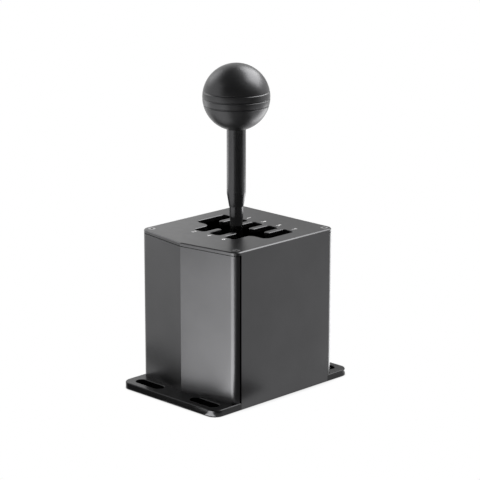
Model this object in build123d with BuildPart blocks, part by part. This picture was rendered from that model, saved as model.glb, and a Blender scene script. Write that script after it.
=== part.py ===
from build123d import *
import os
from math import atan, cos, degrees, pi, radians, sin, sqrt, tan

# Desk-mounted gear shifter for driving games: a folded and bolted aluminium
# body, a gate plate on top, and a lever that swings in a two-axis gimbal.
# Millimetres. The origin is on the desk under the upright lever, +X is the
# driver's right, -Y faces the driver and +Z is up.

# Base plate and its mounting slots
base_width = 100.0
base_depth = 144.0
base_thickness = 5.0
base_corner_radius = 7.5
base_bevel = 0.5
slot_length = 27.0
slot_width = 8.8
slot_inset_x = 20.75
slot_inset_y = 10.0
slot_bevel = 0.4

# Body, measured from the lever axis and from the desk
body_height = 119.1
ridge_reach = 57.7
front_corner_reach = 49.9
rear_reach = 53.7
body_corner_radius = 6.0
side_wall = 3.0
cover_wall = 2.6
tongue_length = 7.0
groove_width = 1.6
groove_depth = 2.0
seam_gap = 0.1
panel_foot_width = 8.0
panel_foot_height = 4.0
panel_foot_length = 64.0
panel_foot_radius = 2.0

# Gate plate
plate_thickness = 3.0
plate_bevel = 0.7
shadow_gap_height = 0.5
shadow_gap_depth = 1.0
lane_pitch = 15.8
lane_width = 11.0
lane_end = 24.0
lane_end_radius = 3.2
channel_width = 13.2
near_finger_set_back = 2.4
channel_corner_radius = 5.0
finger_tip_radius = 2.2
gate_bevel = 0.3

# Fasteners and the holes that they run in
corner_screw_inset = 5.5
port_radius = 3.5
m3_radius = 1.5
m3_head_radius = 2.8
m3_length = 8.5
m3_socket_across = 2.0
socket_depth = 1.0
m25_radius = 1.25
m25_head_radius = 2.3
m25_length = 13.0
m25_socket_across = 1.5
m4_radius = 2.0
m4_head_radius = 3.9
m4_length = 14.0
m4_socket_across = 2.5
pan_radius = 1.0
pan_head_radius = 1.9
pan_head_height = 1.2
sensor_screw_length = 12.0
board_screw_length = 7.0
head_recess = 0.2
tap_run_out = 1.0
detent_tap_depth = 3.0
snug_gap = 0.02
clear_gap = 0.1
panel_screw_spacing = 48.0

# Lever, from the pivot up to the knob
pivot_height = 40.0
knob_radius = 25.0
knob_rise = 99.7
knob_foot_radius = 7.5
knob_groove_floor = 0.4
knob_groove_depth = 0.4
knob_groove_pitch = 5.3
knob_groove_middle = -0.8
insert_radius = 6.5
insert_length = 22.0
insert_roof = 3.0
rod_radius = 5.1
neck_radius = 4.7
neck_taper = 4.0
stud_radius = 4.0
sleeve_radius = 7.15
sleeve_tip_radius = 5.45
sleeve_rise = 17.3
sleeve_taper = 10.0
sleeve_blend_radius = 12.0
lane_stop_gap = 0.7
plate_clearance = 0.5
lock_nut_across = 13.0
lock_nut_height = 5.0

# Pivot block, cross pin and bushes
block_width = 18.0
block_depth = 16.0
block_height = 22.0
block_corner_radius = 2.0
block_bevel = 0.6
pin_radius = 3.0
stud_floor = 1.5
running_gap = 0.05
flange_gap = 0.3
bush_flange = 1.5
bush_flange_radius = 5.5
bush_radius = 4.0
pin_clip_thickness = 0.8
pin_clip_radius = 5.0
pin_groove_depth = 0.6
pin_end = 1.6
clip_gap = 0.1

# Gimbal cradle and its bearings
cheek_thickness = 7.0
cradle_window_depth = 23.0
cradle_end_wall = 6.0
cradle_height = 20.0
cradle_corner_radius = 4.0
arm_width = 12.0
arm_thickness = 5.0
stub_radius = 4.0
stub_shoulder_radius = 5.0
stub_shoulder_length = 3.5
bearing_radius = 8.0
bearing_width = 5.0
bearing_race_radius = 5.5
bearing_race_gap = 0.2
bearing_block_thickness = 10.0
bearing_block_top_radius = 14.0
bearing_block_foot_width = 44.0
bearing_block_foot_height = 6.0
bearing_block_bore = 6.5
block_screw_spacing = 32.0
circlip_thickness = 0.9
circlip_radius = 5.6
circlip_groove_depth = 0.4
stub_end = 0.5

# Position sensors on both axes
magnet_radius = 3.0
magnet_length = 2.5
sensor_gap = 0.5
chip_size = 5.0
chip_height = 1.0
board_thickness = 1.6
sensor_board_width = 22.0
sensor_board_above = 11.3
sensor_board_below = 4.7
spacer_radius = 2.2
spacer_spread = 8.0
spacer_rise = 7.0

# Detent under the pivot
detent_reach = 28.0
plunger_travel = 1.2
detent_gap = 0.3
nose_radius = 2.5
collar_radius = 3.4
collar_height = 2.0
barrel_radius = 5.0
barrel_reach = 23.0
barrel_lip = 3.0
barrel_spigot = 5.5
barrel_flange_radius = 6.4
barrel_flange_height = 2.0
barrel_bevel = 0.8
detent_plate_size = 30.0
detent_plate_height = 9.2
detent_plate_corner_radius = 3.0
detent_screw_spacing = 24.0
detent_screw_length = 8.0
cap_head_radius = 2.75
cap_head_height = 3.0
plunger_wire_radius = 0.45
plunger_coils = 6

# Springs that bring the lever back to the middle plane
spring_radius = 5.3
spring_wire_radius = 0.7
spring_coils = 6
seat_radius = 7.5
seat_floor = 2.0
seat_rim = 2.0
seat_wall = 1.2
seat_pin_radius = 3.2
seat_pin_height = 6.0
seat_spigot_radius = 3.0
seat_spigot_length = 3.0

# Main circuit board and its socket at the rear
main_board_width = 68.0
main_board_depth = 16.4
standoff_height = 6.0
standoff_radius = 2.5
board_rear_gap = 0.7
board_hole_inset = 4.0
usb_width = 8.94
usb_height = 3.16
usb_depth = 7.3
usb_wall = 0.3
usb_tongue_width = 6.7
usb_tongue_height = 0.7
usb_tongue_recess = 0.8
usb_back_wall = 0.6
usb_overhang = 0.5
port_width = 12.4
port_height = 6.6
port_bevel = 0.5

clip_arc = 320.0
spring_segment_angle = 90.0

# Values worked out from the sizes above
half_width = base_width / 2
slot_spacing_x = base_width - 2 * slot_inset_x
slot_spacing_y = base_depth - 2 * slot_inset_y
panel_inner = half_width - side_wall
lid_height = body_height - plate_thickness
front_angle = atan((ridge_reach - front_corner_reach) / half_width)
corner_tangent = body_corner_radius * tan((pi / 2 - front_angle) / 2)
panel_front = -(front_corner_reach - corner_tangent)
panel_rear = rear_reach - body_corner_radius - seam_gap
corner_screw_x = half_width - corner_screw_inset
corner_screw_points = [
    (side * corner_screw_x, y)
    for side in (-1, 1)
    for y in (corner_screw_inset - front_corner_reach, rear_reach - corner_screw_inset)
]
gate_half_width = 2 * lane_pitch + lane_width / 2

plate_middle = lid_height + plate_thickness / 2
select_angle = degrees(atan(lane_pitch / (plate_middle - pivot_height)))
select_cos = cos(radians(select_angle))
plate_rise = body_height - pivot_height
shift_throw = lane_end - neck_radius - lane_stop_gap
shift_angle = degrees(atan(shift_throw * select_cos / plate_rise))
shift_cos = cos(radians(shift_angle))
tilt_cos = select_cos * shift_cos
tilt_sin = sqrt(1 - tilt_cos**2)
neck_reach = (plate_rise + plate_clearance + neck_radius * tilt_sin) / tilt_cos
neck_top = pivot_height + neck_reach

block_top = pivot_height + block_height / 2
block_bottom = pivot_height - block_height / 2
rod_foot = pivot_height + pin_radius + stud_floor
sleeve_bottom = body_height + sleeve_rise
knob_height = body_height + knob_rise
knob_foot = knob_height - sqrt(knob_radius**2 - knob_foot_radius**2)
cheek_inner = block_width / 2 + flange_gap + bush_flange
cheek_outer = cheek_inner + cheek_thickness
cradle_end = cradle_window_depth / 2 + cradle_end_wall
cradle_bottom = pivot_height - cradle_height / 2
pin_half_length = cheek_outer + 2 * clip_gap + pin_clip_thickness + pin_end
bearing_inner_face = cradle_end + stub_shoulder_length
bearing_outer_face = bearing_inner_face + bearing_width
block_outer_face = bearing_inner_face + bearing_block_thickness
stub_tip = block_outer_face + stub_end

barrel_bottom = pivot_height - barrel_reach
barrel_top = block_bottom + barrel_spigot
plunger_tip = pivot_height - detent_reach
collar_bottom = barrel_bottom + barrel_lip + plunger_travel + detent_gap
collar_top = collar_bottom + collar_height

spring_offset = (detent_plate_size / 2 + panel_inner - panel_foot_width) / 2
arm_reach = spring_offset + arm_width / 2
spring_bottom = base_thickness + seat_floor
spring_top = cradle_bottom - seat_floor
board_bottom = base_thickness + standoff_height
board_top = board_bottom + board_thickness
board_rear = rear_reach - cover_wall - board_rear_gap
board_middle = board_rear - main_board_depth / 2
usb_middle = board_top + usb_height / 2
usb_mouth = board_rear + usb_overhang
spacer_points = [(side * spacer_spread, pivot_height + spacer_rise) for side in (-1, 1)]
board_stack = magnet_length + sensor_gap + chip_height
block_spacer_length = stub_end + board_stack
cheek_spacer_length = pin_half_length - cheek_outer + board_stack

print("select range", round(select_angle, 3), "shift range", round(shift_angle, 3))


def body_outline(inset):
    """Plan of the body: a shallow V towards the driver, square at the rear."""
    with BuildSketch() as outline:
        with BuildLine():
            Polyline(
                (0, -ridge_reach),
                (half_width, -front_corner_reach),
                (half_width, rear_reach),
                (-half_width, rear_reach),
                (-half_width, -front_corner_reach),
                close=True,
            )
        make_face()
        corners = outline.vertices().filter_by(lambda v: abs(v.X) > half_width / 2)
        fillet(corners, radius=body_corner_radius)
        if inset > 0:
            offset(amount=-inset, mode=Mode.REPLACE)
    return outline.sketch


def countersunk_screw(radius, head_radius, length, socket_across):
    """Screw with a right-angled countersunk head, flat on XY, its shank down."""
    head_height = head_radius - radius
    with BuildPart() as screw:
        with BuildSketch(Plane.XZ):
            with BuildLine():
                Polyline(
                    (0, 0),
                    (head_radius, 0),
                    (radius, -head_height),
                    (radius, -length),
                    (0, -length),
                    close=True,
                )
            make_face()
        revolve(axis=Axis.Z)
        with BuildSketch():
            RegularPolygon(radius=socket_across / 2, side_count=6, major_radius=False)
        extrude(amount=-socket_depth, mode=Mode.SUBTRACT)
    return screw.part


def headed_screw(radius, head_radius, head_height, length):
    """Screw with a cylindrical head standing on the XY plane, shank down."""
    with BuildPart() as screw:
        Cylinder(head_radius, head_height, align=(Align.CENTER, Align.CENTER, Align.MIN))
        Cylinder(radius, length, align=(Align.CENTER, Align.CENTER, Align.MAX))
    return screw.part


def coil_spring(mean_radius, wire_radius, length, coils):
    """Compression spring on +Z: one round wire led along arcs on a helix."""
    lead = (length - 2 * wire_radius) / coils
    steps = round(coils * 360 / spring_segment_angle)
    turn = radians(spring_segment_angle)

    def on_helix(step):
        angle = turn * step
        height = wire_radius + lead * angle / (2 * pi)
        return (mean_radius * cos(angle), mean_radius * sin(angle), height)

    with BuildPart() as spring:
        with BuildLine() as wire:
            for step in range(steps):
                ThreePointArc(on_helix(step), on_helix(step + 1 / 2), on_helix(step + 1))
        with BuildSketch(wire.line ^ 0):
            Circle(wire_radius)
        sweep()
    return spring.part


def outward_plane_y(end, distance):
    """Upright plane at a distance along Y, facing away from the lever axis."""
    return Plane(origin=(0, end * distance, 0), x_dir=(-end, 0, 0), z_dir=(0, end, 0))


def outward_plane_x(distance):
    """Upright plane at a distance along X, facing away from the lever axis."""
    return Plane(origin=(distance, 0, 0), x_dir=(0, 1, 0), z_dir=(1, 0, 0))


def write(builder, label):
    """Label a finished piece and save it under the same name."""
    builder.part.label = label
    export_step(builder.part, "parts/" + label + ".step")


os.makedirs("parts", exist_ok=True)

m3_screw = countersunk_screw(m3_radius, m3_head_radius, m3_length, m3_socket_across)
m25_screw = countersunk_screw(m25_radius, m25_head_radius, m25_length, m25_socket_across)
m4_screw = countersunk_screw(m4_radius, m4_head_radius, m4_length, m4_socket_across)
sensor_screw = headed_screw(pan_radius, pan_head_radius, pan_head_height, sensor_screw_length)
board_screw = headed_screw(pan_radius, pan_head_radius, pan_head_height, board_screw_length)
cap_screw = headed_screw(m3_radius, cap_head_radius, cap_head_height, detent_screw_length)

panel_screw_x = panel_inner - panel_foot_width / 2
panel_screw_points = [
    (side * panel_screw_x, end * panel_screw_spacing / 2)
    for side in (-1, 1)
    for end in (-1, 1)
]
block_middle = bearing_inner_face + bearing_block_thickness / 2
block_screw_points = [
    (side * block_screw_spacing / 2, end * block_middle)
    for side in (-1, 1)
    for end in (-1, 1)
]
detent_screw_points = [
    (side * detent_screw_spacing / 2, end * detent_screw_spacing / 2)
    for side in (-1, 1)
    for end in (-1, 1)
]
spring_points = [(-spring_offset, 0), (spring_offset, 0)]
pivot_axis_x = Axis((0, 0, pivot_height), (1, 0, 0))
pivot_axis_y = Axis((0, 0, pivot_height), (0, 1, 0))
underside = Plane(origin=(0, 0, head_recess), x_dir=(1, 0, 0), z_dir=(0, 0, -1))

# Base plate: slotted for bolting down, notched for the side panels
with BuildPart() as base_plate:
    with BuildSketch():
        RectangleRounded(base_width, base_depth, base_corner_radius)
    extrude(amount=base_thickness)
    chamfer(base_plate.faces().sort_by(Axis.Z)[-1].edges(), length=base_bevel)
    with BuildSketch():
        with GridLocations(slot_spacing_x, slot_spacing_y, 2, 2):
            SlotOverall(slot_length, slot_width)
    extrude(amount=base_thickness, mode=Mode.SUBTRACT)
    slot_rims = base_plate.faces().sort_by(Axis.Z)[-1].inner_wires()
    chamfer([edge for wire in slot_rims for edge in wire.edges()], length=slot_bevel)
    with BuildSketch():
        for side in (-1, 1):
            with Locations((side * (panel_inner + side_wall), (panel_front + panel_rear) / 2)):
                Rectangle(2 * side_wall, panel_rear - panel_front)
    extrude(amount=base_thickness, mode=Mode.SUBTRACT)
    with BuildSketch(Plane.XY.offset(base_thickness)):
        with Locations(*spring_points):
            Circle(seat_spigot_radius + snug_gap)
    extrude(amount=-seat_spigot_length, mode=Mode.SUBTRACT)
    with BuildSketch(Plane.XY.offset(base_thickness)):
        with Locations(*detent_screw_points):
            Circle(m3_radius + snug_gap)
    extrude(amount=-detent_tap_depth, mode=Mode.SUBTRACT)
    for points, radius, head_radius in (
        (corner_screw_points, m25_radius, m25_head_radius),
        (panel_screw_points, m3_radius, m3_head_radius),
        (block_screw_points, m4_radius, m4_head_radius),
    ):
        with BuildSketch():
            with Locations(*points):
                Circle(head_radius + clear_gap)
        extrude(amount=head_recess, mode=Mode.SUBTRACT)
        with Locations(underside):
            with Locations(*[(x, -y) for x, y in points]):
                CounterSinkHole(radius + clear_gap, head_radius + clear_gap, base_thickness, 90)
write(base_plate, "base_plate")

# Side panels: flush with the base plate's sides down to the desk, with a foot inside
for side, label in ((-1, "left_side_panel"), (1, "right_side_panel")):
    with BuildPart() as side_panel:
        with BuildSketch():
            with Locations((side * (panel_inner + side_wall / 2), (panel_front + panel_rear) / 2)):
                Rectangle(side_wall, panel_rear - panel_front)
        extrude(amount=lid_height)
        with BuildSketch(Plane.XY.offset(base_thickness)):
            with Locations((side * panel_screw_x, 0)):
                Rectangle(panel_foot_width, panel_foot_length)
            with Locations(*[point for point in panel_screw_points if point[0] * side > 0]):
                Circle(m3_radius + snug_gap, mode=Mode.SUBTRACT)
        extrude(amount=panel_foot_height)
        foot_ends = (
            side_panel.edges()
            .filter_by(Axis.Z)
            .filter_by(lambda edge: abs(edge.center().X) < panel_inner - panel_foot_width / 2)
        )
        fillet(foot_ends.filter_by(GeomType.LINE), radius=panel_foot_radius)
    write(side_panel, label)

# Front and rear covers: folded walls whose tongues lie behind the side panels
tongue_outer = panel_inner - seam_gap
tongue_inner = tongue_outer - cover_wall
with BuildSketch() as cavity:
    add(body_outline(cover_wall))
    Rectangle(2 * tongue_inner, 2 * base_depth, mode=Mode.INTERSECT)


def cover_profile(end, tongue_tip, panel_edge):
    """Plan of a cover on the front (end -1) or rear (end 1) of the body."""
    with BuildSketch() as profile:
        add(body_outline(0))
        add(cavity.sketch, mode=Mode.SUBTRACT)
        with Locations(*corner_screw_points):
            Circle(port_radius)
        with Locations((0, tongue_tip + end * base_depth / 2)):
            Rectangle(2 * base_width, base_depth, mode=Mode.INTERSECT)
        for side in (-1, 1):
            with Locations((side * (tongue_outer + side_wall), panel_edge - end * base_depth / 2)):
                Rectangle(2 * side_wall, base_depth, mode=Mode.SUBTRACT)
        with Locations(*corner_screw_points):
            Circle(m25_radius + snug_gap, mode=Mode.SUBTRACT)
    return profile.sketch


def raise_cover(profile):
    """Cover wall between the base plate and the gate plate, tapped for both."""
    with BuildPart() as cover:
        with BuildSketch(Plane.XY.offset(base_thickness)):
            add(profile)
        extrude(amount=lid_height - base_thickness)
        with BuildSketch(Plane.XY.offset(lid_height)):
            with Locations(*corner_screw_points):
                Circle(m3_radius + snug_gap)
        extrude(amount=plate_thickness - m3_length - tap_run_out, mode=Mode.SUBTRACT)
    return cover.part


with BuildPart() as front_cover:
    add(raise_cover(cover_profile(-1, panel_front + tongue_length, panel_front - seam_gap)))
    with BuildSketch(Plane.XY.offset(base_thickness)):
        for side in (-1, 1):
            with Locations((side * half_width, panel_front - groove_width / 2)):
                Rectangle(2 * groove_depth, groove_width)
    extrude(amount=lid_height - base_thickness, mode=Mode.SUBTRACT)
write(front_cover, "front_cover")

with BuildPart() as rear_cover:
    add(raise_cover(cover_profile(1, panel_rear - tongue_length, panel_rear + seam_gap)))
    with BuildSketch(outward_plane_y(1, rear_reach)):
        with Locations((0, usb_middle)):
            SlotOverall(port_width, port_height)
    extrude(amount=-cover_wall, mode=Mode.SUBTRACT)
    port_rim = rear_cover.faces().sort_by(Axis.Y)[-1].inner_wires()[0]
    chamfer(port_rim.edges(), length=port_bevel)
write(rear_cover, "rear_cover")

# Gate plate: a neutral channel with lanes, over a thin shadow gap at the covers
finger_width = lane_pitch - lane_width
tip_radius = min(finger_tip_radius, 0.45 * finger_width)
far_lanes = [(column * lane_pitch, 0) for column in (-2, -1, 0, 1, 2)]
near_lanes = [(column * lane_pitch, 0) for column in (-1, 0, 1)]
outer_near_lane = lane_pitch + lane_width / 2
inner_near_lane = lane_pitch - lane_width / 2
near_tips = -channel_width / 2 - near_finger_set_back
with BuildSketch(Plane.XY.offset(lid_height)) as gate:
    Rectangle(2 * gate_half_width, channel_width)
    with Locations(*far_lanes):
        Rectangle(lane_width, lane_end, align=(Align.CENTER, Align.MIN))
    with Locations(*near_lanes):
        Rectangle(lane_width, lane_end, align=(Align.CENTER, Align.MAX))
    Rectangle(2 * inner_near_lane, -near_tips, align=(Align.CENTER, Align.MAX))
    for level, nearest, furthest, radius in (
        (lane_end, 0, gate_half_width, lane_end_radius),
        (-lane_end, 0, gate_half_width, lane_end_radius),
        (-channel_width / 2, gate_half_width, gate_half_width, channel_corner_radius),
        (-channel_width / 2, outer_near_lane, outer_near_lane, channel_corner_radius),
        (near_tips, 0, inner_near_lane, tip_radius),
        (channel_width / 2, 0, gate_half_width - lane_width / 2, tip_radius),
    ):
        corners = gate.vertices().filter_by(
            lambda v: abs(v.Y - level) < snug_gap
            and nearest - snug_gap < abs(v.X) < furthest + snug_gap
        )
        fillet(corners, radius=radius)

with BuildPart() as top_plate:
    with BuildSketch(Plane.XY.offset(lid_height)):
        add(body_outline(0))
    extrude(amount=plate_thickness)
    chamfer(top_plate.faces().sort_by(Axis.Z)[-1].edges(), length=plate_bevel)
    with BuildSketch(Plane.XY.offset(lid_height)):
        add(body_outline(0))
        add(body_outline(shadow_gap_depth), mode=Mode.SUBTRACT)
        with Locations((0, (panel_front + panel_rear) / 2)):
            Rectangle(base_width, panel_rear - panel_front, mode=Mode.SUBTRACT)
    extrude(amount=shadow_gap_height, mode=Mode.SUBTRACT)
    extrude(gate.sketch, amount=plate_thickness, mode=Mode.SUBTRACT)
    gate_rim = top_plate.faces().sort_by(Axis.Z)[-1].inner_wires()[0]
    chamfer(gate_rim.edges(), length=gate_bevel)
    with Locations(Plane.XY.offset(body_height)):
        with Locations(*corner_screw_points):
            CounterSinkHole(m3_radius + clear_gap, m3_head_radius + clear_gap, plate_thickness, 90)
write(top_plate, "top_plate")

# Screws of the casing
with BuildPart() as top_screws:
    with Locations(*[(x, y, body_height) for x, y in corner_screw_points]):
        add(m3_screw)
write(top_screws, "top_screws")

for points, screw, label in (
    (corner_screw_points, m25_screw, "cover_screws"),
    (panel_screw_points, m3_screw, "panel_screws"),
    (block_screw_points, m4_screw, "block_screws"),
):
    with BuildPart() as base_screws:
        with Locations(*[(x, y, head_recess) for x, y in points]):
            add(screw, rotation=(180, 0, 0))
    write(base_screws, label)

# Bearing blocks: one in front of the lever and one behind it
block_hole_depth = m4_length - base_thickness + tap_run_out
spacer_hole_depth = sensor_screw_length - board_thickness - block_spacer_length + tap_run_out
for end, label in ((-1, "front_bearing_block"), (1, "rear_bearing_block")):
    inner_plane = outward_plane_y(end, bearing_inner_face)
    with BuildPart() as bearing_block:
        with BuildSketch(inner_plane):
            with Locations((0, pivot_height)):
                Circle(bearing_block_top_radius)
            with Locations((0, base_thickness)):
                Rectangle(
                    bearing_block_foot_width,
                    bearing_block_foot_height,
                    align=(Align.CENTER, Align.MIN),
                )
            make_hull()
            with Locations((0, pivot_height)):
                Circle(bearing_block_bore, mode=Mode.SUBTRACT)
        extrude(amount=bearing_block_thickness)
        with BuildSketch(inner_plane):
            with Locations((0, pivot_height)):
                Circle(bearing_radius + snug_gap)
        extrude(amount=bearing_width, mode=Mode.SUBTRACT)
        with BuildSketch(Plane.XY.offset(base_thickness)):
            with Locations(*block_screw_points):
                Circle(m4_radius + snug_gap)
        extrude(amount=block_hole_depth, mode=Mode.SUBTRACT)
        with BuildSketch(outward_plane_y(end, block_outer_face)):
            with Locations(*spacer_points):
                Circle(pan_radius + snug_gap)
        extrude(amount=-spacer_hole_depth, mode=Mode.SUBTRACT)
    write(bearing_block, label)

# Sealed ball bearings: outer rings with their shields, and inner rings
bearing_middle = bearing_inner_face + bearing_width / 2
race_outer = bearing_race_radius - bearing_race_gap
for inner, outer, label in (
    (bearing_race_radius, bearing_radius, "bearing_outer_rings"),
    (stub_radius + snug_gap, race_outer, "bearing_inner_rings"),
):
    with BuildPart() as rings:
        with BuildSketch(Plane.YZ):
            with Locations(
                *[(end * bearing_middle, pivot_height + (inner + outer) / 2) for end in (-1, 1)]
            ):
                Rectangle(bearing_width, outer - inner)
        revolve(axis=pivot_axis_y)
    write(rings, label)

# Gimbal cradle: swings sideways on two stub shafts and carries the cross pin
clip_start = bearing_outer_face + clip_gap
clip_end = clip_start + circlip_thickness
with BuildPart() as gimbal_cradle:
    with BuildSketch(Plane.XY.offset(cradle_bottom)):
        RectangleRounded(2 * cheek_outer, 2 * cradle_end, cradle_corner_radius)
        Rectangle(2 * cheek_inner, cradle_window_depth, mode=Mode.SUBTRACT)
    extrude(amount=cradle_height)
    with BuildSketch(Plane.XY.offset(cradle_bottom)):
        SlotOverall(2 * arm_reach, arm_width)
        Rectangle(2 * cheek_inner, cradle_window_depth, mode=Mode.SUBTRACT)
    extrude(amount=arm_thickness)
    with BuildSketch(Plane.XY.offset(cradle_bottom)):
        with Locations(*spring_points):
            Circle(seat_spigot_radius + snug_gap)
    extrude(amount=seat_spigot_length, mode=Mode.SUBTRACT)
    with BuildSketch(Plane.YZ):
        with Locations((0, pivot_height)):
            Circle(bush_radius + snug_gap)
    extrude(amount=cheek_outer, both=True, mode=Mode.SUBTRACT)
    with BuildSketch(outward_plane_x(cheek_outer)):
        with Locations(*spacer_points):
            Circle(pan_radius + snug_gap)
    cheek_hole_depth = sensor_screw_length - board_thickness - cheek_spacer_length + tap_run_out
    extrude(amount=-cheek_hole_depth, mode=Mode.SUBTRACT)
    with BuildSketch(Plane.YZ):
        for end in (-1, 1):
            with BuildLine():
                Polyline(
                    (end * cradle_end, pivot_height),
                    (end * cradle_end, pivot_height + stub_shoulder_radius),
                    (end * bearing_inner_face, pivot_height + stub_shoulder_radius),
                    (end * bearing_inner_face, pivot_height + stub_radius),
                    (end * bearing_outer_face, pivot_height + stub_radius),
                    (end * bearing_outer_face, pivot_height + stub_radius - circlip_groove_depth),
                    (end * (clip_end + clip_gap), pivot_height + stub_radius - circlip_groove_depth),
                    (end * (clip_end + clip_gap), pivot_height + stub_radius),
                    (end * stub_tip, pivot_height + stub_radius),
                    (end * stub_tip, pivot_height),
                    close=True,
                )
            make_face()
    revolve(axis=pivot_axis_y)
write(gimbal_cradle, "gimbal_cradle")


def open_rings(plane, axis, distance, inner, outer, thickness):
    """Two snap rings round an axis, one each side of the lever, each with a mouth."""
    with BuildPart() as clips:
        with BuildSketch(plane):
            with Locations(
                *[(end * distance, pivot_height + (inner + outer) / 2) for end in (-1, 1)]
            ):
                Rectangle(thickness, outer - inner)
        revolve(axis=axis, revolution_arc=clip_arc)
    return clips.part


with BuildPart() as shaft_circlips:
    circlip_inner = stub_radius - circlip_groove_depth + snug_gap
    circlip_middle = clip_start + circlip_thickness / 2
    add(
        open_rings(
            Plane.YZ,
            pivot_axis_y,
            circlip_middle,
            circlip_inner,
            circlip_radius,
            circlip_thickness,
        )
    )
write(shaft_circlips, "shaft_circlips")

# Cross pin, fixed in the lever's pivot block and turning in flanged bushes
pin_clip_start = cheek_outer + clip_gap
pin_groove_end = pin_clip_start + pin_clip_thickness + clip_gap
with BuildPart() as cross_pin:
    with BuildSketch(Plane.XZ):
        for side in (-1, 1):
            with BuildLine():
                Polyline(
                    (0, pivot_height),
                    (0, pivot_height + pin_radius),
                    (side * cheek_outer, pivot_height + pin_radius),
                    (side * cheek_outer, pivot_height + pin_radius - pin_groove_depth),
                    (side * pin_groove_end, pivot_height + pin_radius - pin_groove_depth),
                    (side * pin_groove_end, pivot_height + pin_radius),
                    (side * pin_half_length, pivot_height + pin_radius),
                    (side * pin_half_length, pivot_height),
                    close=True,
                )
            make_face()
    revolve(axis=pivot_axis_x)
write(cross_pin, "cross_pin")

with BuildPart() as pin_clips:
    pin_clip_inner = pin_radius - pin_groove_depth + snug_gap
    pin_clip_middle = pin_clip_start + pin_clip_thickness / 2
    add(
        open_rings(
            Plane.XZ,
            pivot_axis_x,
            pin_clip_middle,
            pin_clip_inner,
            pin_clip_radius,
            pin_clip_thickness,
        )
    )
write(pin_clips, "pin_clips")

bush_bore = pin_radius + running_gap
bush_inner_face = cheek_inner - bush_flange
with BuildPart() as pivot_bushes:
    with BuildSketch(Plane.XZ):
        for side in (-1, 1):
            with BuildLine():
                Polyline(
                    (side * bush_inner_face, pivot_height + bush_bore),
                    (side * bush_inner_face, pivot_height + bush_flange_radius),
                    (side * cheek_inner, pivot_height + bush_flange_radius),
                    (side * cheek_inner, pivot_height + bush_radius),
                    (side * cheek_outer, pivot_height + bush_radius),
                    (side * cheek_outer, pivot_height + bush_bore),
                    close=True,
                )
            make_face()
    revolve(axis=pivot_axis_x)
write(pivot_bushes, "pivot_bushes")

with BuildPart() as pivot_block:
    with BuildSketch(Plane.XY.offset(block_bottom)):
        RectangleRounded(block_width, block_depth, block_corner_radius)
    extrude(amount=block_height)
    chamfer(pivot_block.faces().sort_by(Axis.Z)[-1].edges(), length=block_bevel)
    chamfer(pivot_block.faces().sort_by(Axis.Z)[0].edges(), length=block_bevel)
    with BuildSketch(Plane.XY.offset(block_top)):
        Circle(stud_radius + snug_gap)
    extrude(amount=rod_foot - block_top, mode=Mode.SUBTRACT)
    with BuildSketch(Plane.XY.offset(block_bottom)):
        Circle(barrel_radius + snug_gap)
    extrude(amount=barrel_spigot, mode=Mode.SUBTRACT)
    with BuildSketch(Plane.YZ):
        with Locations((0, pivot_height)):
            Circle(pin_radius + snug_gap)
    extrude(amount=block_width / 2, both=True, mode=Mode.SUBTRACT)
write(pivot_block, "pivot_block")

# Lever: rod with a lock nut below, sleeve and knob above
rod_shoulder = block_top + lock_nut_height
rod_tip = knob_foot + insert_length - insert_roof
with BuildPart() as lever_rod:
    with BuildSketch(Plane.XZ):
        with BuildLine():
            Polyline(
                (0, rod_foot),
                (stud_radius, rod_foot),
                (stud_radius, rod_shoulder),
                (neck_radius, rod_shoulder),
                (neck_radius, neck_top),
                (rod_radius, neck_top + neck_taper),
                (rod_radius, sleeve_bottom),
                (stud_radius, sleeve_bottom),
                (stud_radius, rod_tip),
                (0, rod_tip),
                close=True,
            )
        make_face()
    revolve(axis=Axis.Z)
write(lever_rod, "lever_rod")

with BuildPart() as lock_nut:
    with BuildSketch(Plane.XY.offset(block_top)):
        RegularPolygon(radius=lock_nut_across / 2, side_count=6, major_radius=False)
        Circle(stud_radius + snug_gap, mode=Mode.SUBTRACT)
    extrude(amount=lock_nut_height)
write(lock_nut, "lock_nut")

with BuildPart() as lever_sleeve:
    with BuildSketch(Plane.XZ):
        with BuildLine():
            Polyline(
                (stud_radius + snug_gap, sleeve_bottom),
                (sleeve_tip_radius, sleeve_bottom),
                (sleeve_radius, sleeve_bottom + sleeve_taper),
                (sleeve_radius, knob_foot),
                (stud_radius + snug_gap, knob_foot),
                close=True,
            )
        sleeve_face = make_face()
        shoulder = sleeve_face.vertices().sort_by_distance((sleeve_radius, sleeve_bottom + sleeve_taper))
        fillet(shoulder[0], radius=sleeve_blend_radius)
    revolve(axis=Axis.Z)
write(lever_sleeve, "lever_sleeve")

with BuildPart() as knob_insert:
    with BuildSketch(Plane.XY.offset(knob_foot)):
        Circle(insert_radius)
        Circle(stud_radius + snug_gap, mode=Mode.SUBTRACT)
    extrude(amount=insert_length)
write(knob_insert, "knob_insert")

insert_top = knob_foot + insert_length
with BuildPart() as shift_knob:
    with BuildSketch(Plane.XZ):
        with BuildLine():
            ThreePointArc(
                (knob_foot_radius, knob_foot),
                (knob_radius, knob_height),
                (0, knob_height + knob_radius),
            )
            Polyline(
                (0, knob_height + knob_radius),
                (0, insert_top),
                (insert_radius + snug_gap, insert_top),
                (insert_radius + snug_gap, knob_foot),
                (knob_foot_radius, knob_foot),
            )
        make_face()
        for ring in (-1, 0, 1):
            rise = knob_groove_middle + ring * knob_groove_pitch
            with Locations((sqrt(knob_radius**2 - rise**2), knob_height + rise)):
                Polygon(
                    (-knob_groove_depth, -knob_groove_floor / 2),
                    (-knob_groove_depth, knob_groove_floor / 2),
                    (knob_groove_depth, knob_groove_floor / 2 + 2 * knob_groove_depth),
                    (knob_groove_depth, -knob_groove_floor / 2 - 2 * knob_groove_depth),
                    mode=Mode.SUBTRACT,
                )
    revolve(axis=Axis.Z)
write(shift_knob, "shift_knob")

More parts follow.
